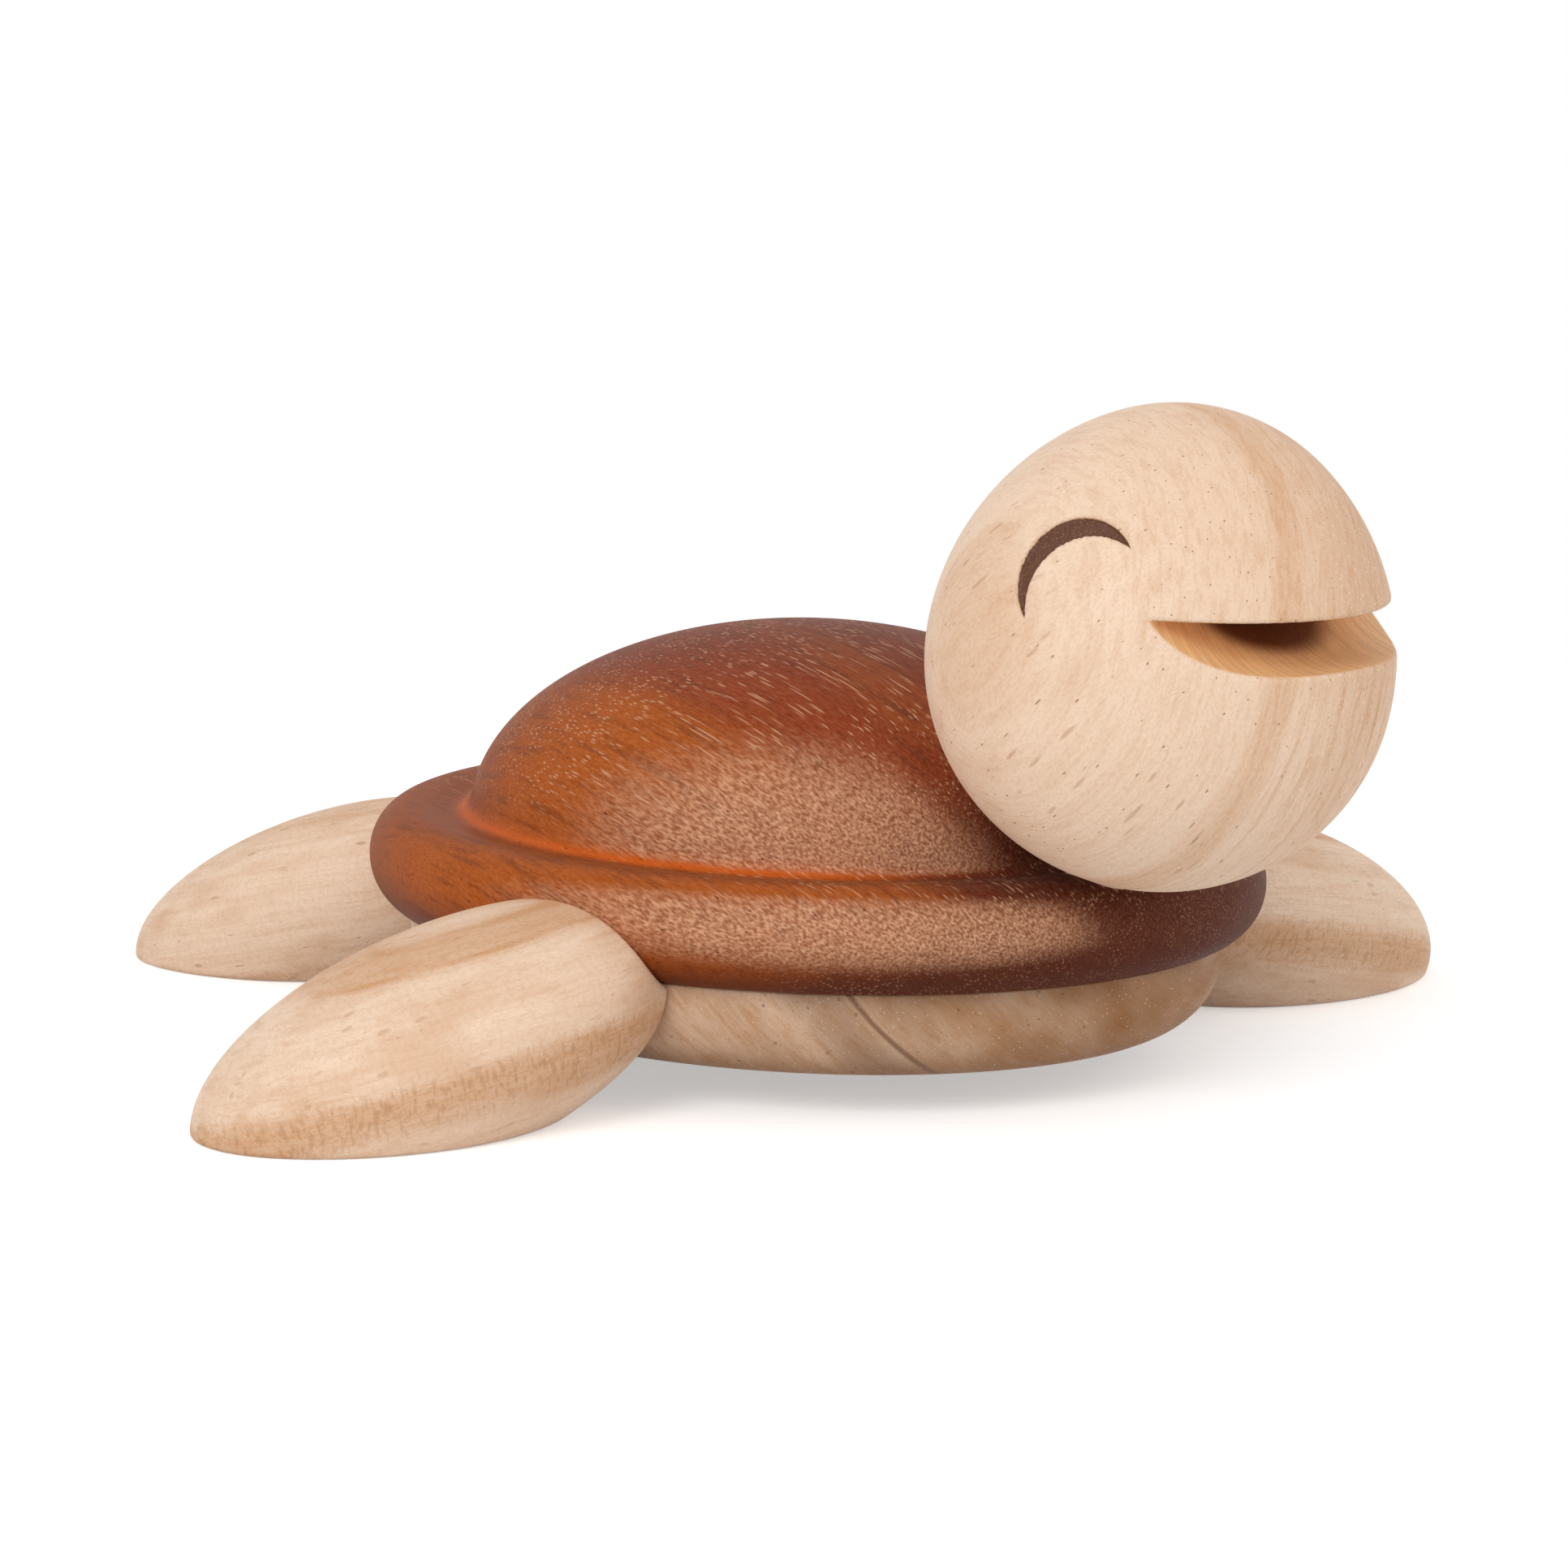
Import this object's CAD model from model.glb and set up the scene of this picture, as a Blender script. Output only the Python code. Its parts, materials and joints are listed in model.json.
import json
import math

import bpy
import numpy as np
from mathutils import Color, Matrix, Vector

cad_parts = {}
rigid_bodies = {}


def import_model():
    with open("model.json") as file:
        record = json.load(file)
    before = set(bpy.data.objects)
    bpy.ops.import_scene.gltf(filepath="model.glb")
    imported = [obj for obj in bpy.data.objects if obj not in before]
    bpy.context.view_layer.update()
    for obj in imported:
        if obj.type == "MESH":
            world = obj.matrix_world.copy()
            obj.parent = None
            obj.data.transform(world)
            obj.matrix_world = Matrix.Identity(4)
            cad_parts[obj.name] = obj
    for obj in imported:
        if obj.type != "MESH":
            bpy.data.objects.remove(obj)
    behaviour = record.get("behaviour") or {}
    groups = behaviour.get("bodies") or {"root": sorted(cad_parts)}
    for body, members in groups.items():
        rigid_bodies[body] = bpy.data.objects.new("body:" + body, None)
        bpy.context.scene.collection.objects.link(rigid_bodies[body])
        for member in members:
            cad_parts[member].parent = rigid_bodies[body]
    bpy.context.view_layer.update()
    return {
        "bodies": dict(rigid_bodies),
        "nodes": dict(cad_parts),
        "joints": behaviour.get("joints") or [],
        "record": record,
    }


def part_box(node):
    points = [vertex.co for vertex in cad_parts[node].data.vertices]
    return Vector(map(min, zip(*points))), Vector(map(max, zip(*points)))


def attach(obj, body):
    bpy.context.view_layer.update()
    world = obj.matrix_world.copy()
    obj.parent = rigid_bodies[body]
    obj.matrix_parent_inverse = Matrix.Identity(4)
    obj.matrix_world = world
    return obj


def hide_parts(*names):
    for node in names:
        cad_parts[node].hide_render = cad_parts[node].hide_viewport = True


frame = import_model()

# Sizes of the turtle in millimetres, the same as those of its solids
METRE = 0.001
SHELL_Y = -3.7
SHELL_HALF = (47.5, 57.1)
RIM_UNDERSIDE = 14.5
RIM_NOSE = 5.95
RIM_CROWN_RADIUS = 21.0
DOME_HALF = (37.1, 43.2, 23.1)
DOME_SPRING = 24.9
GROOVE_RADIUS = 2.5
BELLY_HALF = (43.4, 51.3)
BELLY_CLEARANCE = 4.3
BELLY_EDGE_RADIUS = 7.7
# Steps round the belly board and along its outline, and where along it each stretch begins and ends
BELLY_STEPS = (240, 60)
BELLY_ROWS = (0.0, 0.3, 0.6, 0.75, 1.0)
HEAD_RADIUS = 24.8
HEAD_NOSE_RADIUS = 21.5
HEAD_CROWN = 28.1
HEAD_BASE = 23.9
HEAD_LEAN = math.radians(19.9)
HEAD_GAP = 1.1
FACE_TURN = math.radians(17.1)
MOUTH_REACH = 11.4
MOUTH_HEIGHT = 7.75
MOUTH_LIP_FALL = math.radians(3.3)
MOUTH_SCOOP_RADIUS = 15.5
MOUTH_SCOOP_ANGLE = math.radians(53.0)
EYE_TURN = math.radians(81.7)
EYE_RISE = math.radians(27.4)
EYE_ARCH_RADIUS = 6.6
EYE_CHEEK_RADIUS = 7.0
EYE_ARCH_SHIFT = 3.0
EYE_SLANT = math.radians(-53.7)
EYE_DEPTH = 0.6
GLUE_GAP = 0.05
FLIPPERS = {
    "front": {"half": (18.6, 12.8, 29.0), "center": (58.5, -9.9, 7.75), "angles": (10.2, 18.5, -8.3)},
    "rear": {"half": (14.0, 11.0, 28.0), "center": (22.8, 67.4, 8.2), "angles": (65.7, 20.5, -2.8)},
}

# How the wood lies in each piece: along its fibre, and square to its growth rings
SHELL_FIBRE = (0.03, -0.965, -0.26)
SHELL_RING_FACE = (-0.75, 0.0, -0.66)
BELLY_FIBRE = (-0.62, -0.77, -0.12)
BELLY_RING_FACE = (0.7, -0.6, 0.87)
HEAD_FIBRE = (0.085, -0.758, 0.646)
HEAD_RING_FACE = (0.978, -0.061, -0.2)
# Tan bands: place across the rings, half width, depth of tone
SHELL_BANDS = ((-10.0, 4.0, 0.5),)
HEAD_BANDS = ((-4.2, 2.8, 0.34), (14.0, 16.0, 0.34), (-25.0, 3.0, 0.3))
BELLY_BANDS = ((4.0, 5.0, 0.2), (22.0, 4.0, 0.3), (36.0, 5.0, 0.3))
BELLY_RING = ((14.3, 0.6, 0.75), (11.0, 4.0, 0.35))
FLIPPER_BANDS = {
    "front": ((-3.0, 3.6, 0.6), (11.8, 3.2, 0.6)),
    "rear": ((-8.0, 2.0, 0.2), (11.0, 2.6, 0.3)),
}
PEG_BANDS = ((0.0, 2.0, 0.4),)
FLIPPER_FIBRE_RISE = 0.14
# How far the rings of a wood wander, and how far apart a year's lines lie in the pale wood
SHELL_WANDER = 10.0
SHELL_BAND_WANDER = 12.0
PALE_WANDER = 4.0
BELLY_RING_WANDER = 2.0
YEAR_SPACING = 2.6
# Where a tone begins and where it is full: a side lies across or around the rings, an end along the fibre
HEART_SIDE = (3.0, -16.0)
ORANGE_SIDE = (3.0, 12.0)
DUSTY_SIDE = (-5.0, 6.0)
DASHED_SIDE = (32.0, 18.0)
DARK_SIDE = (-28.0, -18.0)
DARK_END = (25.0, 45.0)
HEAD_GROWTH_SIDE = (-6.0, 0.0)
HEAD_DOTTED_SIDE = (-6.0, 3.0)
CROWN_SIDE = (-9.0, 0.0)
CROWN_END = (14.0, 26.0)
BELLY_SHADED_SIDE = (-8.0, 40.0)
FLIPPER_GROWTH_SIDE = (5.0, 10.0)
# How deep under the egg the scoop's own colour begins, and how deep it is darkest
SCOOP_EDGE = (0.1, 0.5)
SCOOP_DEEP = (6.0, 9.0)
# How softly the burnt colour ends at an eye's outline, and how far out of the head's middle it begins
EYE_FLOOR_EDGE = (-0.03, 0.07)
EYE_FLOOR_REACH = 5.0
# The side on which the cutter raised the shell's grain, from which slope to which, and where oil lies darker
RAISED_SIDE = (-0.66, -0.71, 0.25)
RAISED_SLOPES = (0.7, 0.96)
SHADED_SLOPES = (0.62, 0.3)
# How far the deeper colour reaches out of the shell's groove
GROOVE_REACH = 1.2
# Patches of uneven tone: size across the rings, around them and along the fibre
WANDER_PATCH = (9, 14, 70)
SHELL_STREAK_PATCH = (0.7, 2.2, 30)
SHELL_TWEED_PATCH = (0.27, 0.27, 1.2)
SHELL_DASH_PATCH = (2.5, 4, 12)
FIGURE_PATCH = (1.8, 4, 60)
LINE_PATCH = (0.4, 2.2, 10)
GRIT_PATCH = (0.22, 0.3, 0.6)
GROWTH_PATCH = (2, 6, 20)
SAW_PATCH = (0.3, 9, 9)
BURNT_PATCH = (0.16, 0.16, 0.3)
BELLY_PATCH = (5, 7, 40)
FLIPPER_PATCH = (5, 6, 12)
CRACKLE_PATCH = (1.3, 1.3, 0.45)
DENT_PATCH = (2, 3, 7)
# Vessels that a cut lays open: spacing, length, bore, and the share of them that shows
SHELL_DASHES = (0.34, 9, 0.26, 0.9)
SHELL_PITS = (1.0, 5, 0.2, 0.6)
PALE_PORES = (1.0, 10, 0.2, 1.0)
HEAD_STREAKS = (1.5, 11, 0.6, 1.0)
HEAD_DASHES = (1.4, 3.6, 0.3, 0.8)
HEAD_DOTS = (0.55, 5, 0.28, 0.8)
BELLY_DOTS = (0.5, 3, 0.22, 0.6)
BELLY_PITS = (1.7, 4, 0.5, 0.6)
FLIPPER_DINGS = (2.2, 6, 0.8, 0.9)
# Depth of tone of the growth lines, pores and dings on each kind of flipper
FLIPPER_TONES = {
    "front": {"growth": 0.4, "pores": 0.3, "dings": 0.4},
    "rear": {"growth": 0.1, "pores": 0.5, "dings": 0.6},
}
# How deep the grain's relief is, and how many times deeper a flipper's dents are
RELIEF_DEPTH = 0.03
DENT_DEPTHS = 4

# How far the maker eased each kind of edge
LIP_EASE = 0.35
EYE_EASE = 0.22
FLIPPER_EASE = 0.9
SOLE_EASE = 0.5

# Carving: fineness of each skin, parts in which a field is worked out, and how far a slope is felt
SHELL_SKIN = 0.56
HEAD_SKIN = 0.37
FLIPPER_SKIN = 0.42
FIELD_PARTS = 24
SLOPE_REACH = 0.05
LEAST_STEEP = 0.05
# Rounds of drawing a skin onto its form, and how far its points are evened out before each
SKIN_ROUNDS = (0, 0, 0.6, 0, 0.6, 0, 0.6, 0, 0)

RIM_TOP = RIM_UNDERSIDE + 2 * RIM_NOSE
CROWN_REACH = SHELL_HALF[1] - RIM_NOSE
HEAD_AXIS = np.array([0.0, -math.sin(HEAD_LEAN), math.cos(HEAD_LEAN)])
HEAD_CENTER = np.array([0.0, SHELL_Y - CROWN_REACH, RIM_TOP]) + HEAD_AXIS * (HEAD_GAP + HEAD_BASE)
FACE_FORWARD = np.array([math.sin(FACE_TURN), -math.cos(FACE_TURN), 0.0])
EYE_SHIFT = (EYE_ARCH_SHIFT * math.cos(EYE_SLANT), EYE_ARCH_SHIFT * math.sin(EYE_SLANT))


# Carving: a piece is the inside of a field of distances, met by a fine skin of four-sided faces

def keep_both(a, b, ease):
    """The wood common to two forms, its edge eased to a radius."""
    eased = np.hypot(np.maximum(ease + a, 0), np.maximum(ease + b, 0))
    return np.minimum(-ease, np.maximum(a, b)) + eased


def join_both(a, b, fillet):
    """Two forms in one block, the corner between them filled to a radius."""
    filled = np.hypot(np.maximum(fillet - a, 0), np.maximum(fillet - b, 0))
    return np.maximum(fillet, np.minimum(a, b)) - filled


def oval_wall(x, y, half_x, half_y):
    """Distance from an upright oval wall."""
    near = np.hypot(x / half_x, y / half_y)
    slope = np.maximum(np.hypot(x / half_x**2, y / half_y**2), 1e-9)
    return near * (near - 1) / slope


def oval_ball(x, y, z, half):
    """Distance from an ellipsoid."""
    near = np.sqrt((x / half[0])**2 + (y / half[1])**2 + (z / half[2])**2)
    slope = np.sqrt((x / half[0]**2)**2 + (y / half[1]**2)**2 + (z / half[2]**2)**2)
    return near * (near - 1) / np.maximum(slope, 1e-9)


def rim_field(p):
    x, y, z = p[:, 0], p[:, 1] - SHELL_Y, p[:, 2]
    reach = np.hypot(x * SHELL_HALF[1] / SHELL_HALF[0], y)
    nose = np.hypot(reach - CROWN_REACH, z - RIM_UNDERSIDE - RIM_NOSE) - RIM_NOSE
    top = np.hypot(reach - CROWN_REACH, z - RIM_TOP + RIM_CROWN_RADIUS) - RIM_CROWN_RADIUS
    return np.where(reach > CROWN_REACH, nose, np.maximum(top, RIM_UNDERSIDE - z))


def dome_field(p):
    dome = oval_ball(p[:, 0], p[:, 1] - SHELL_Y, p[:, 2] - DOME_SPRING, DOME_HALF)
    return np.maximum(dome, RIM_UNDERSIDE + RIM_NOSE - p[:, 2])


def shell_field(p):
    return join_both(rim_field(p), dome_field(p), GROOVE_RADIUS)


def egg_field(p):
    offset = p - HEAD_CENTER
    along = offset @ HEAD_AXIS
    across = np.linalg.norm(offset - along[:, None] * HEAD_AXIS, axis=1)
    rise = HEAD_CROWN - HEAD_NOSE_RADIUS
    flank = (HEAD_RADIUS**2 - HEAD_NOSE_RADIUS**2 + rise**2) / (2 * (HEAD_RADIUS - HEAD_NOSE_RADIUS))
    sweep = math.atan2(rise, flank - HEAD_RADIUS)
    base = oval_wall(across, along, HEAD_RADIUS, HEAD_BASE)
    side = np.hypot(across + flank - HEAD_RADIUS, along) - flank
    top = np.hypot(across, along - rise) - HEAD_NOSE_RADIUS
    turn = np.arctan2(along, across + flank - HEAD_RADIUS)
    return np.where(along < 0, base, np.where(turn < sweep, side, top))


def mouth_field(p):
    """Depth inside the open mouth, below the upper lip and above the scooped lower one."""
    offset = p - HEAD_CENTER
    ahead = offset @ FACE_FORWARD
    lip = MOUTH_HEIGHT - (ahead - MOUTH_REACH) * math.tan(MOUTH_LIP_FALL)
    under_lip = (lip - offset[:, 2]) * math.cos(MOUTH_LIP_FALL)
    pivot = MOUTH_REACH + MOUTH_SCOOP_RADIUS * math.sin(MOUTH_SCOOP_ANGLE)
    lift = MOUTH_HEIGHT + MOUTH_SCOOP_RADIUS * math.cos(MOUTH_SCOOP_ANGLE)
    scoop = MOUTH_SCOOP_RADIUS - np.hypot(ahead - pivot, offset[:, 2] - lift)
    over_scoop = np.where(ahead < pivot, scoop, offset[:, 2] - lift + MOUTH_SCOOP_RADIUS)
    return np.minimum(under_lip, over_scoop)


def eye_frame(side):
    """Directions towards the face, upwards and out of the cheek at one eye."""
    turn = FACE_TURN + side * EYE_TURN
    across = np.array([math.cos(turn), math.sin(turn), 0.0]) * -side
    ahead = np.array([math.sin(turn), -math.cos(turn), 0.0])
    look = ahead * math.cos(EYE_RISE) + np.array([0.0, 0.0, math.sin(EYE_RISE)])
    return across, np.cross(look, across) * -side, look


def crescent_field(p, side):
    """Distance from the outline of one eye, drawn square on to the cheek."""
    across, upward, look = eye_frame(side)
    offset = p - HEAD_CENTER
    u, v = offset @ across, offset @ upward
    arch = np.hypot(u, v) - EYE_ARCH_RADIUS
    cheek = EYE_CHEEK_RADIUS - np.hypot(u - EYE_SHIFT[0], v - EYE_SHIFT[1])
    return np.maximum(np.maximum(arch, cheek), HEAD_RADIUS / 2 - offset @ look)


def head_field(p):
    egg = egg_field(p)
    face = keep_both(egg, mouth_field(p), LIP_EASE)
    for side in (-1, 1):
        recess = np.maximum(crescent_field(p, side), -(egg + EYE_DEPTH))
        face = keep_both(face, -recess, EYE_EASE)
    return face


def flipper_frame(kind):
    sweep, droop, roll = (math.radians(a) for a in FLIPPERS[kind]["angles"])
    along = np.array([math.cos(droop) * math.cos(sweep), math.cos(droop) * math.sin(sweep), -math.sin(droop)])
    level = np.array([-math.sin(sweep), math.cos(sweep), 0.0])
    across = level * math.cos(roll) + np.cross(along, level) * math.sin(roll)
    out, back, up = FLIPPERS[kind]["center"]
    return np.array([out, SHELL_Y + back, up]), across, np.cross(along, across), along


def flipper_field(kind, side):
    center, across, through, along = flipper_frame(kind)

    def field(p):
        q = p * (side, 1, 1)
        offset = q - center
        blank = oval_ball(offset @ across, offset @ through, offset @ along, FLIPPERS[kind]["half"])
        blank = keep_both(blank, -q[:, 2], SOLE_EASE)
        board = oval_wall(q[:, 0], q[:, 1] - SHELL_Y, *BELLY_HALF)
        wall = np.maximum(board, q[:, 2] - RIM_UNDERSIDE - RIM_NOSE)
        return keep_both(blank, GLUE_GAP - np.minimum(rim_field(q), wall), FLIPPER_EASE)

    return field


def slope_of(field, p, reach):
    """The direction in which a field grows, and how fast."""
    steps = np.eye(3) * reach
    return np.stack([field(p + s) - field(p - s) for s in steps], axis=1) / (2 * reach)


def carve(name, field, low, high, step):
    """A closed skin of quads on the zero of a field, drawn onto it and evened out."""
    low, high = np.array(low, float) - 2 * step, np.array(high, float) + 2 * step
    axes = [np.arange(a, b + step, step) for a, b in zip(low, high)]
    counts = [len(a) for a in axes]
    points = np.stack(np.meshgrid(*axes, indexing="ij"), axis=-1).reshape(-1, 3)
    inside = np.concatenate([field(part) for part in np.array_split(points, FIELD_PARTS)]).reshape(counts) < 0
    cells = sum(
        inside[i:counts[0] - 1 + i, j:counts[1] - 1 + j, k:counts[2] - 1 + k].astype(np.int8)
        for i in (0, 1) for j in (0, 1) for k in (0, 1)
    )
    met = np.argwhere((cells > 0) & (cells < 8))
    index = np.full(cells.shape, -1)
    index[tuple(met.T)] = np.arange(len(met))
    vertices = low + (met + 0.5) * step
    faces = []
    for axis in range(3):
        here, there = inside.take(range(counts[axis] - 1), axis), inside.take(range(1, counts[axis]), axis)
        side_b, side_c = np.eye(3, dtype=int)[[(axis + 1) % 3, (axis + 2) % 3]]
        for leaving in (True, False):
            edge = np.argwhere((here != there) & (here == leaving))
            ring = [edge - side_b - side_c, edge - side_c, edge, edge - side_b]
            quad = np.stack([index[tuple(corner.T)] for corner in ring], axis=1)
            faces.append(quad if leaving else quad[:, ::-1])
    faces = np.concatenate(faces)
    links = np.concatenate([faces[:, [i, (i + 1) % 4]] for i in range(4)])
    valence = np.bincount(links[:, 0], minlength=len(vertices))[:, None]
    for even in SKIN_ROUNDS:
        if even:
            middle = np.stack(
                [np.bincount(links[:, 0], vertices[links[:, 1], i], len(vertices)) for i in range(3)], axis=1
            ) / valence
            vertices = vertices + (middle - vertices) * even
        slope = slope_of(field, vertices, step * SLOPE_REACH)
        steep = np.maximum((slope**2).sum(axis=1), LEAST_STEEP)
        pull = field(vertices) / steep
        vertices = vertices - slope * np.clip(pull, -step, step)[:, None]
    mesh = bpy.data.meshes.new(name)
    mesh.from_pydata((vertices * METRE).tolist(), [], faces.tolist())
    mesh.shade_smooth()
    piece = bpy.data.objects.new(name, mesh)
    bpy.context.scene.collection.objects.link(piece)
    return piece, vertices


def mark(piece, name, values):
    """Keeps one number for each point of a piece, for its finish to read."""
    piece.data.attributes.new(name, "FLOAT", "POINT").data.foreach_set("value", values.astype(np.float32))


def box_of(node):
    low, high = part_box(node)
    return np.array(low) / METRE, np.array(high) / METRE


# Trees of nodes: each wood has one, and so has the belly board's shape

class Tone:
    """One socket of a finish, so that sums on it can be written as Python."""

    def __init__(self, finish, socket):
        self.finish = finish
        self.socket = socket

    def sum(self, operation, first, second=0.0):
        return self.finish.node("ShaderNodeMath", {"operation": operation}, {0: first, 1: second})

    def __add__(self, other):
        return self.sum("ADD", self, other)

    def __sub__(self, other):
        return self.sum("SUBTRACT", self, other)

    def __rsub__(self, other):
        return self.sum("SUBTRACT", other, self)

    def __mul__(self, other):
        return self.sum("MULTIPLY", self, other)

    def __truediv__(self, other):
        return self.sum("DIVIDE", self, other)

    def __rtruediv__(self, other):
        return self.sum("DIVIDE", other, self)

    def __abs__(self):
        return self.sum("ABSOLUTE", self)

    def beside(self, output):
        """Another output of the same node."""
        return Tone(self.finish, self.socket.node.outputs[output])

    def larger(self, other):
        return self.sum("MAXIMUM", self, other)

    def smaller(self, other):
        return self.sum("MINIMUM", self, other)

    __radd__ = __add__
    __rmul__ = __mul__


class Nodes:
    """A tree of nodes, written as calls and sums."""

    def __init__(self, tree):
        self.tree = tree

    def node(self, kind, settings=None, inputs=None, output=0):
        """Adds a node, with its settings first, and gives one of its outputs."""
        made = self.tree.nodes.new(kind)
        for name, value in (settings or {}).items():
            setattr(made, name, value)
        for name, value in (inputs or {}).items():
            self.feed(made.inputs[name], value)
        return Tone(self, made.outputs[output])

    def feed(self, socket, value):
        if isinstance(value, Tone):
            self.tree.links.new(value.socket, socket)
        else:
            socket.default_value = value

    def rise(self, tone, start, end, curve="SMOOTHSTEP"):
        """A soft step from 0 to 1 as a tone goes from start to end."""
        reach = {"Value": tone, "From Min": start, "From Max": end}
        return self.node("ShaderNodeMapRange", {"interpolation_type": curve}, reach)


class Finish(Nodes):
    """The nodes of a material or of the studio's surroundings."""

    def __init__(self, owner):
        owner.use_nodes = True
        super().__init__(owner.node_tree)
        self.owner = owner

    def blend(self, under, over, share):
        """One colour laid over another."""
        return self.node("ShaderNodeMix", {"data_type": "RGBA"}, {0: share, 6: under, 7: over}, output=2)


class Pattern(Nodes):
    """A tree that shapes a piece from named sizes in millimetres."""

    def __init__(self, name, sizes):
        super().__init__(bpy.data.node_groups.new(name, "GeometryNodeTree"))
        self.sizes = sizes
        self.tree.interface.new_socket("Piece", in_out="OUTPUT", socket_type="NodeSocketGeometry")
        for size in sizes:
            self.tree.interface.new_socket(size, in_out="INPUT", socket_type="NodeSocketFloat")
        self.entry = self.node("NodeGroupInput")

    def size(self, name):
        return self.entry.beside(name)

    def make(self, shape, material):
        """Ends the tree, and gives what it shapes as a plain mesh."""
        whole = self.node("GeometryNodeRealizeInstances", inputs={0: shape})
        clad = self.node("GeometryNodeSetMaterial", inputs={"Geometry": whole, "Material": material})
        self.feed(self.tree.nodes.new("NodeGroupOutput").inputs["Piece"], clad)
        piece = bpy.data.objects.new(self.tree.name, bpy.data.meshes.new("blank"))
        bpy.context.scene.collection.objects.link(piece)
        step = piece.modifiers.new("pattern", "NODES")
        step.node_group = self.tree
        for socket in self.tree.interface.items_tree:
            if socket.in_out == "INPUT":
                step[socket.identifier] = self.sizes[socket.name]
        shaped = piece.evaluated_get(bpy.context.evaluated_depsgraph_get())
        mesh = bpy.data.meshes.new_from_object(shaped)
        piece.modifiers.remove(step)
        piece.data = mesh
        return piece


class Wood(Finish):
    """Solid wood, with patterns in millimetres across its rings, around them and along its fibre."""

    def __init__(self, name, fibre, ring_face, heart):
        super().__init__(bpy.data.materials.new(name))
        along = Vector(fibre).normalized()
        across = Vector(ring_face)
        across = (across - along * across.dot(along)).normalized()
        self.fibre = np.array(along)
        self.turn = Matrix((across, along.cross(across), along)).transposed().to_euler()
        self.heart = Vector(heart) * METRE
        self.shader = self.tree.nodes["Principled BSDF"]
        self.place = self.node("ShaderNodeTexCoord", output="Object")
        self.end_grain = self.marked("end_grain")

    def marked(self, name):
        """A number kept for each point of the piece."""
        return self.node("ShaderNodeAttribute", {"attribute_name": name}, output="Fac")

    def cells(self, across, around, along):
        """Places in the wood, counted in cells of a size."""
        size = (across * METRE, around * METRE, along * METRE)
        frame = {"Vector": self.place, "Location": self.heart, "Rotation": self.turn, "Scale": size}
        return self.node("ShaderNodeMapping", {"vector_type": "TEXTURE"}, frame)

    def height(self):
        """Height over the ground, in millimetres."""
        return self.node("ShaderNodeSeparateXYZ", inputs={0: self.place}, output="Z") / METRE

    def across_rings(self):
        return self.node("ShaderNodeSeparateXYZ", inputs={0: self.cells(1, 1, 1)}, output="X")

    def mottle(self, patch, detail=1.0):
        """Uneven tone, about 0.5, in soft patches of a size."""
        pattern = {"Vector": self.cells(*patch), "Scale": 1.0, "Detail": detail}
        return self.node("ShaderNodeTexNoise", inputs=pattern)

    def wandering(self, wander):
        """Place across the rings, which wander by a few millimetres."""
        return self.across_rings() + (self.mottle(WANDER_PATCH) - 0.5) * wander

    def banding(self, bands, wander):
        """Tone of the wider growth bands."""
        ring = self.wandering(wander)
        tone = 0.0
        for place, half, depth in bands:
            tone = tone + depth * self.rise(abs(ring - place), half, half * 0.15)
        return tone

    def years(self, spacing, wander):
        """Fine lines where one year's growth ends and the next begins."""
        ring = self.wandering(wander)
        return self.rise(ring.sum("PINGPONG", ring, spacing / 2), spacing * 0.22, 0)

    def vessels(self, spacing, length, bore, share):
        """Where a cut crosses the wood's vessels: spindles, of which only a share shows."""
        pattern = {"Vector": self.cells(spacing, spacing, length), "Scale": 1.0}
        near = self.node("ShaderNodeTexVoronoi", inputs=pattern, output="Distance")
        pick = self.node("ShaderNodeSeparateColor", inputs={0: near.beside("Color")})
        edge = bore / (2 * spacing)
        return self.rise(near, edge, edge * 0.55) * self.rise(pick, 1 - share, 1.1 - share * 0.6)

    def finish(self, color, rough, height):
        """Sets colour, roughness and relief."""
        self.feed(self.shader.inputs["Base Color"], color)
        self.feed(self.shader.inputs["Roughness"], rough)
        relief = {"Height": height, "Distance": RELIEF_DEPTH * METRE, "Strength": 1.0}
        self.feed(self.shader.inputs["Normal"], self.node("ShaderNodeBump", inputs=relief))
        return self.owner


def dye(red, green, blue):
    """A colour as a screen shows it."""
    return (*Color((red / 255, green / 255, blue / 255)).from_srgb_to_scene_linear(), 1.0)


ORANGE_BROWN = dye(178, 86, 22)
RED_BROWN = dye(148, 60, 22)
PLUM_BROWN = dye(80, 34, 22)
GROOVE_ORANGE = dye(228, 102, 28)
DUST = dye(196, 134, 100)
SAND = dye(240, 190, 152)
CREAM = dye(247, 217, 190)
TAN = dye(210, 156, 108)
STREAK_TAN = dye(190, 140, 98)
PORE_BROWN = dye(136, 88, 50)
CHALK = dye(255, 238, 214)
BELLY_BROWN = dye(144, 92, 36)
RING_BROWN = dye(112, 70, 38)
SCOOP_TAN = dye(246, 196, 138)
SCOOP_BROWN = dye(108, 50, 0)
BURNT = dye(90, 48, 24)
BURNT_SPECK = dye(144, 92, 58)


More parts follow.
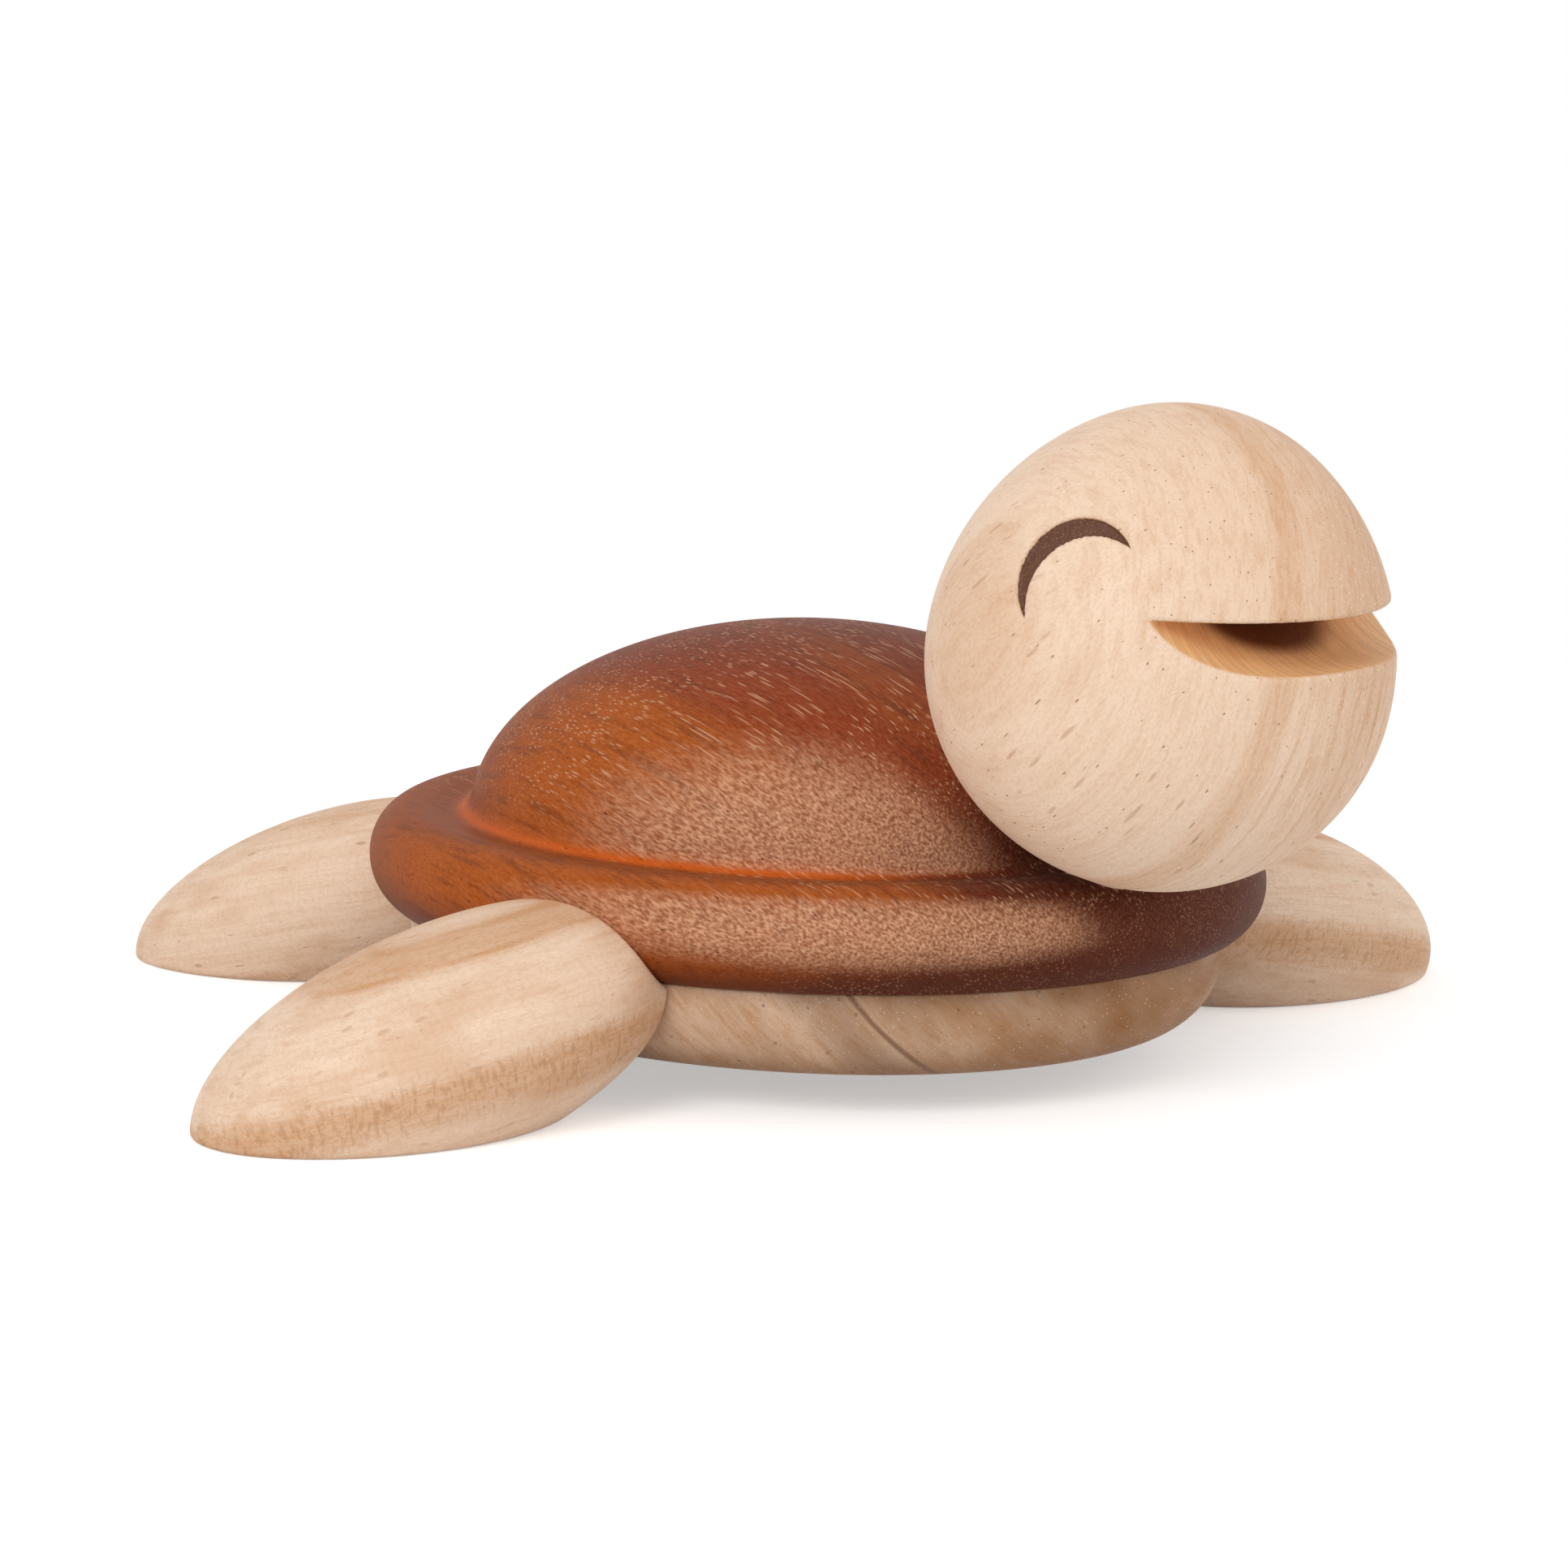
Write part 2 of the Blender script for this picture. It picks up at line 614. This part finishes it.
def shell_wood():
    """Red-brown wood with an orange side and a dark front end, dusty where its grain is raised."""
    wood = Wood("shell_wood", SHELL_FIBRE, SHELL_RING_FACE, (0, SHELL_Y, RIM_TOP))
    groove = wood.marked("groove")
    rings = wood.across_rings()
    wandering = wood.wandering(SHELL_WANDER)
    heart = wood.rise(wandering, *HEART_SIDE)
    orange = wood.rise(wandering, *ORANGE_SIDE) + wood.banding(SHELL_BANDS, SHELL_BAND_WANDER)
    streaks = wood.rise(wood.mottle(SHELL_STREAK_PATCH, detail=4), 0.48, 0.7)
    color = wood.blend(RED_BROWN, ORANGE_BROWN, orange.smaller(1))
    color = wood.blend(color, PLUM_BROWN, (streaks * 0.4 + heart * 0.32).smaller(0.8))
    dark = wood.rise(rings.beside("Y"), *DARK_SIDE) * wood.rise(rings.beside("Z"), *DARK_END)
    slope = wood.marked("raised")
    color = wood.blend(color, PLUM_BROWN, (dark * 0.92).larger(wood.rise(slope, *SHADED_SLOPES) * 0.35))
    raised = wood.rise(slope, *RAISED_SLOPES) * wood.rise(wandering, *DUSTY_SIDE)
    color = wood.blend(color, DUST, raised * 0.6)
    tweed = wood.rise(wood.mottle(SHELL_TWEED_PATCH, detail=2), 0.33, 0.67, "LINEAR")
    color = wood.blend(color, SAND, tweed * (0.07 + raised * 0.53))
    color = wood.blend(color, PLUM_BROWN, (1 - tweed) * (0.18 + raised * 0.22))
    low = wood.rise(wood.height(), RIM_UNDERSIDE + RIM_NOSE * 1.2, RIM_UNDERSIDE)
    color = wood.blend(color, PLUM_BROWN, low * 0.7)
    color = wood.blend(color, GROOVE_ORANGE, groove * (1 - dark) * 0.95)
    long_cut = wood.rise(rings, *DASHED_SIDE) * (1 - 0.6 * wood.rise(wood.end_grain, 0.5, 0.8))
    patches = wood.rise(wood.mottle(SHELL_DASH_PATCH), 0.3, 0.55)
    dashes = wood.vessels(*SHELL_DASHES) * patches * long_cut
    color = wood.blend(color, SAND, dashes * 0.5)
    pits = wood.vessels(*SHELL_PITS)
    color = wood.blend(color, PLUM_BROWN, pits * 0.9)
    wood.shader.inputs["Specular IOR Level"].default_value = 0.04
    return wood.finish(color, 0.44 + 0.1 * tweed, 0 - dashes - pits - tweed), wood.fibre


def pale_grain(wood, bands, figure, dark, growth=0.0):
    """Close cream wood: tan bands and year lines, soft streaks, a fine grit and small brown pores."""
    soft = wood.rise(wood.mottle(FIGURE_PATCH, detail=2), 0.46, 0.8) * figure
    lines = wood.rise(wood.mottle(LINE_PATCH), 0.46, 0.64)
    grit = wood.rise(wood.mottle(GRIT_PATCH), 0.4, 0.7)
    years = wood.years(YEAR_SPACING, PALE_WANDER) * wood.rise(wood.mottle(GROWTH_PATCH), 0.35, 0.65)
    tan = wood.banding(bands, PALE_WANDER) + soft + lines * (0.09 + 0.1 * wood.end_grain) + grit * 0.18
    pores = wood.vessels(*PALE_PORES)
    color = wood.blend(CREAM, TAN, (tan + years * growth).smaller(1))
    color = wood.blend(color, PORE_BROWN, pores * dark)
    return color, lines + grit, pores


def head_wood():
    """Cream wood with a dotted face, a sawn tan scoop in the mouth and burnt eyes."""
    wood = Wood("head_wood", HEAD_FIBRE, HEAD_RING_FACE, HEAD_CENTER)
    rings = wood.across_rings()
    growth = 0.05 + 0.25 * wood.rise(rings, *HEAD_GROWTH_SIDE)
    color, grain, pores = pale_grain(wood, HEAD_BANDS, 0.2, 0.8, growth)
    streaks = wood.vessels(*HEAD_STREAKS) * wood.rise(wood.end_grain, 0.5, 0.15)
    color = wood.blend(color, STREAK_TAN, streaks * 0.5)
    dashes = wood.vessels(*HEAD_DASHES)
    color = wood.blend(color, PORE_BROWN, dashes * 0.6)
    crown = (0.35 + 0.65 * wood.rise(rings, *CROWN_SIDE)) * wood.rise(rings.beside("Z"), *CROWN_END)
    color = wood.blend(color, TAN, crown * 0.35)
    dots = wood.vessels(*HEAD_DOTS) * wood.rise(rings, *HEAD_DOTTED_SIDE)
    color = wood.blend(color, CHALK, dots * 0.5)
    cut = wood.marked("cut")
    saw = wood.rise(wood.mottle(SAW_PATCH), 0.42, 0.58)
    scoop = wood.blend(SCOOP_TAN, STREAK_TAN, saw * 0.35)
    scoop = wood.blend(scoop, CHALK, dots * 0.6)
    scoop = wood.blend(scoop, SCOOP_BROWN, wood.rise(cut, *SCOOP_DEEP))
    color = wood.blend(color, scoop, wood.rise(cut, *SCOOP_EDGE))
    burnt = wood.blend(BURNT, BURNT_SPECK, wood.rise(wood.mottle(BURNT_PATCH), 0.55, 0.75))
    color = wood.blend(color, burnt, eye_floor(wood))
    return wood.finish(color, 0.52 + 0.08 * grain, 0 - grain * 0.3 - pores - dashes), wood.fibre


def eye_floor(wood):
    """The engraved crescents, drawn as the carver drew them: inside one circle and outside another."""
    floors = []
    center = Vector(HEAD_CENTER)
    for side in (-1, 1):
        across, upward, look = (Vector(axis) for axis in eye_frame(side))
        turn = Matrix((across, upward, across.cross(upward))).transposed().to_euler()
        flat = {"Vector": wood.place, "Location": center * METRE, "Rotation": turn, "Scale": [METRE] * 3}
        drawn = wood.node("ShaderNodeMapping", {"vector_type": "TEXTURE"}, flat)
        sheet = wood.node("ShaderNodeVectorMath", {"operation": "MULTIPLY"}, {0: drawn, 1: (1, 1, 0)})
        reach = {"operation": "DISTANCE"}
        arch = wood.node("ShaderNodeVectorMath", reach, {0: sheet, 1: (0, 0, 0)}, output="Value")
        cheek = wood.node("ShaderNodeVectorMath", reach, {0: sheet, 1: (*EYE_SHIFT, 0)}, output="Value")
        inside = (EYE_ARCH_RADIUS - arch).smaller(cheek - EYE_CHEEK_RADIUS)
        along = {0: wood.place, 1: look}
        towards = wood.node("ShaderNodeVectorMath", {"operation": "DOT_PRODUCT"}, along, output="Value")
        middle = center.dot(look)
        outward = wood.rise(towards, middle * METRE, (middle + EYE_FLOOR_REACH) * METRE)
        floors.append(wood.rise(inside, *EYE_FLOOR_EDGE) * outward)
    return floors[0].larger(floors[1])


def belly_wood():
    """Greyer, browner board with pale dots and dark pits, crossed by one dark ring."""
    wood = Wood("belly_wood", BELLY_FIBRE, BELLY_RING_FACE, (0, SHELL_Y, BELLY_CLEARANCE))
    color, grain, pores = pale_grain(wood, BELLY_BANDS, 0.35, 0.7, 0.3)
    shade = wood.rise(wood.across_rings(), *BELLY_SHADED_SIDE)
    brown = 0.32 + shade * 0.55 + (wood.mottle(BELLY_PATCH) - 0.5) * 0.6
    color = wood.blend(color, BELLY_BROWN, brown)
    low = wood.rise(wood.height(), BELLY_CLEARANCE + BELLY_EDGE_RADIUS / 2, BELLY_CLEARANCE)
    color = wood.blend(color, BELLY_BROWN, low * 0.8)
    color = wood.blend(color, RING_BROWN, wood.banding(BELLY_RING, BELLY_RING_WANDER))
    dots = wood.vessels(*BELLY_DOTS)
    color = wood.blend(color, CREAM, dots * 0.45)
    pits = wood.vessels(*BELLY_PITS)
    color = wood.blend(color, RING_BROWN, pits * 0.55)
    return wood.finish(color, 0.55 + 0.08 * grain, 0 - grain * 0.3 - pores - pits), wood.fibre


def flipper_wood(kind, hand, side):
    """Cream wood laid along the flipper, with tan dings, crackled along its lower band."""
    center, across, through, along = (axis * (side, 1, 1) for axis in flipper_frame(kind))
    wood = Wood(f"{kind}_{hand}_wood", along + FLIPPER_FIBRE_RISE * through, through, center)
    tones = FLIPPER_TONES[kind]
    growth = 0.1 + tones["growth"] * wood.rise(wood.across_rings(), *FLIPPER_GROWTH_SIDE)
    color, grain, pores = pale_grain(wood, FLIPPER_BANDS[kind], 0.16, tones["pores"], growth)
    band = wood.banding(FLIPPER_BANDS[kind][:1], PALE_WANDER)
    crackle = wood.rise(wood.mottle(CRACKLE_PATCH, detail=2), 0.47, 0.68) * (0.12 + band)
    color = wood.blend(color, TAN, wood.rise(wood.mottle(FLIPPER_PATCH, detail=2), 0.45, 0.75) * 0.4)
    dings = wood.vessels(*FLIPPER_DINGS) * tones["dings"]
    color = wood.blend(color, STREAK_TAN, dings.larger(crackle * 0.8))
    dents = wood.mottle(DENT_PATCH, detail=2) * DENT_DEPTHS
    return wood.finish(color, 0.55 + 0.08 * grain, dents - grain * 0.3 - pores - crackle), wood.fibre


def peg_wood():
    wood = Wood("peg_wood", HEAD_AXIS, (1, 0, 0), HEAD_CENTER)
    color, grain, pores = pale_grain(wood, PEG_BANDS, 0.4, 0.5)
    return wood.finish(color, 0.6 + 0.08 * grain, 0 - grain * 0.3 - pores)


def belly_board(material):
    """An oval board with a large radius on its lower edge, drawn from its middle, round its edge and back."""
    pattern = Pattern("belly_board", {
        "Half Width": BELLY_HALF[0], "Half Length": BELLY_HALF[1], "Middle": SHELL_Y,
        "Underside": BELLY_CLEARANCE, "Top": RIM_UNDERSIDE, "Edge Radius": BELLY_EDGE_RADIUS,
    })
    half_x, half_y, radius = (pattern.size(name) for name in ("Half Width", "Half Length", "Edge Radius"))
    counts = {"Vertices X": BELLY_STEPS[0] + 1, "Vertices Y": BELLY_STEPS[1] + 1}
    sheet = pattern.node("GeometryNodeMeshGrid", inputs={"Size X": 1.0, "Size Y": 1.0, **counts})
    across = pattern.node("ShaderNodeSeparateXYZ", inputs={0: pattern.node("GeometryNodeInputPosition")})
    turn = across * math.tau
    along = across.beside("Y") + 0.5
    under, edge, wall, top = (
        pattern.rise(along, start, end, "LINEAR") for start, end in zip(BELLY_ROWS, BELLY_ROWS[1:])
    )
    reach = under * (1 - top)
    side, ahead = turn.sum("COSINE", turn), turn.sum("SINE", turn)
    bend = edge * (math.pi / 2)
    inset = radius * (1 - bend.sum("SINE", bend))
    rise = radius * (1 - bend.sum("COSINE", bend))
    square_x, square_y = side * half_y, ahead * half_x
    square = square_x * square_x + square_y * square_y
    steep = square.sum("POWER", square, 0.5)
    x = reach * (side * half_x - inset * square_x / steep)
    y = pattern.size("Middle") + reach * (ahead * half_y - inset * square_y / steep)
    low = pattern.size("Underside")
    z = low + rise + wall * (pattern.size("Top") - low - radius)
    place = pattern.node("ShaderNodeCombineXYZ", inputs={0: x * METRE, 1: y * METRE, 2: z * METRE})
    board = pattern.node("GeometryNodeSetPosition", inputs={"Geometry": sheet, "Position": place})
    board = pattern.node("GeometryNodeMergeByDistance", inputs={"Geometry": board, "Distance": METRE / 100})
    board = pattern.node("GeometryNodeSetShadeSmooth", inputs={"Geometry": board})
    return pattern.make(board, material)


def settle(piece, node, body, fibre):
    """Lays the wood in a finished piece and puts it in its node's place."""
    outward = np.empty(len(piece.data.vertices) * 3, np.float32)
    piece.data.vertex_normals.foreach_get("vector", outward)
    mark(piece, "end_grain", np.abs(outward.reshape(-1, 3) @ fibre))
    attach(piece, body)
    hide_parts(node)


def carved(name, node, field, step, material):
    """Carves a piece within the box of its node."""
    piece, points = carve(name, field, *box_of(node), step)
    piece.data.materials.append(material)
    return piece, points


material, fibre = shell_wood()
shell, points = carved("turned_shell", "shell", shell_field, SHELL_SKIN, material)
mark(shell, "groove", np.exp(-(np.maximum(rim_field(points), dome_field(points)) / GROOVE_REACH)**2))
slope = slope_of(shell_field, points, SLOPE_REACH)
mark(shell, "raised", slope @ RAISED_SIDE / np.linalg.norm(slope, axis=1) / np.linalg.norm(RAISED_SIDE))
settle(shell, "shell", "body", fibre)

material, fibre = belly_wood()
settle(belly_board(material), "belly", "body", fibre)

material, fibre = head_wood()
head, points = carved("egg_head", "head", head_field, HEAD_SKIN, material)
mark(head, "cut", np.maximum(-egg_field(points), 0))
settle(head, "head", "head", fibre)

for kind in FLIPPERS:
    for hand, side in (("left", 1), ("right", -1)):
        node = f"{kind}_{hand}_flipper"
        material, fibre = flipper_wood(kind, hand, side)
        flipper, _ = carved(f"carved_{node}", node, flipper_field(kind, side), FLIPPER_SKIN, material)
        settle(flipper, node, "body", fibre)

dowel_wood = peg_wood()
for node in ("neck_peg", *(f"{kind}_{hand}_dowel" for kind in FLIPPERS for hand in ("left", "right"))):
    frame["nodes"][node].data.materials.clear()
    frame["nodes"][node].data.materials.append(dowel_wood)

# Studio: a white floor that keeps the shadow, white surroundings and a soft box on each side of the camera

FLOOR_HALF = 6.0
FLOOR_THROWN = (0.82, 0.82, 0.82, 1)
FLOOR_SHOWN = (0.92, 0.94, 0.95, 1)
FLOOR_LIFT = (0.45, 0.45, 0.45, 1)
FLOOR_FADE = (0.13, 0.3)
SKY_LEVEL = 0.62
SOFT_BOXES = {
    "key_box": {"place": (-0.74, -0.4, 0.56), "size": 0.45, "power": 3.2},
    "fill_box": {"place": (0.56, -0.72, 0.3), "size": 0.7, "power": 1.4},
}
# The photograph's camera: its lens and frame, and its place and aim in the turtle's millimetres
PHOTO_LENS = 125.5
PHOTO_FRAME = 36
PHOTO_PLACE = (-380.3, -487.8 + SHELL_Y, 129.9)
PHOTO_AIM = (-2.47, 1.91 + SHELL_Y, 29.36)


def seen_straight(finish):
    """1 for what the camera sees, straight or in gloss and glass, and 0 for light that falls on things."""
    path = {name: finish.node("ShaderNodeLightPath", output=name) for name in
            ("Is Camera Ray", "Is Glossy Ray", "Is Transmission Ray")}
    return path["Is Camera Ray"].larger(path["Is Glossy Ray"]).larger(path["Is Transmission Ray"])


def studio_floor():
    mesh = bpy.data.meshes.new("studio_floor")
    corners = [(-FLOOR_HALF, -FLOOR_HALF, 0), (FLOOR_HALF, -FLOOR_HALF, 0),
               (FLOOR_HALF, FLOOR_HALF, 0), (-FLOOR_HALF, FLOOR_HALF, 0)]
    mesh.from_pydata(corners, [], [(0, 1, 2, 3)])
    floor = bpy.data.objects.new("studio_floor", mesh)
    bpy.context.scene.collection.objects.link(floor)
    finish = Finish(bpy.data.materials.new("studio_floor"))
    shader = finish.tree.nodes["Principled BSDF"]
    shader.inputs["Roughness"].default_value = 1.0
    shader.inputs["Specular IOR Level"].default_value = 0.0
    place = finish.node("ShaderNodeTexCoord", output="Object")
    away = finish.node("ShaderNodeVectorMath", {"operation": "LENGTH"}, {0: place}, output="Value")
    seen = seen_straight(finish)
    finish.feed(shader.inputs["Base Color"], finish.blend(FLOOR_THROWN, FLOOR_SHOWN, seen))
    shader.inputs["Emission Strength"].default_value = 1.0
    finish.feed(shader.inputs["Emission Color"], finish.blend((0, 0, 0, 1), FLOOR_LIFT, seen))
    lit = Tone(finish, shader.outputs["BSDF"])
    white = finish.node("ShaderNodeEmission", inputs={"Color": (1, 1, 1, 1), "Strength": 1.0})
    far = finish.rise(away, *FLOOR_FADE)
    shown = finish.node("ShaderNodeMixShader", inputs={0: far * seen, 1: lit, 2: white})
    finish.feed(finish.tree.nodes["Material Output"].inputs["Surface"], shown)
    mesh.materials.append(finish.owner)


def studio_light():
    finish = Finish(bpy.data.worlds.new("studio"))
    sky = finish.tree.nodes["Background"]
    sky.inputs["Color"].default_value = (1, 1, 1, 1)
    finish.feed(sky.inputs["Strength"], SKY_LEVEL + (1 - SKY_LEVEL) * seen_straight(finish))
    bpy.context.scene.world = finish.owner
    for name, box in SOFT_BOXES.items():
        data = bpy.data.lights.new(name, "AREA")
        data.shape = "SQUARE"
        data.size = box["size"]
        data.energy = box["power"]
        lamp = bpy.data.objects.new(name, data)
        lamp.location = box["place"]
        lamp.rotation_euler = (-lamp.location).to_track_quat("-Z", "Y").to_euler()
        bpy.context.scene.collection.objects.link(lamp)


def photo_camera():
    data = bpy.data.cameras.new("photo_camera")
    data.lens = PHOTO_LENS
    data.sensor_width = PHOTO_FRAME
    camera = bpy.data.objects.new("photo_camera", data)
    camera.location = Vector(PHOTO_PLACE) * METRE
    aim = Vector(PHOTO_AIM) * METRE
    camera.rotation_euler = (aim - camera.location).to_track_quat("-Z", "Y").to_euler()
    bpy.context.scene.collection.objects.link(camera)
    bpy.context.scene.camera = camera


studio_floor()
studio_light()
photo_camera()
bpy.context.scene.view_settings.view_transform = "Standard"
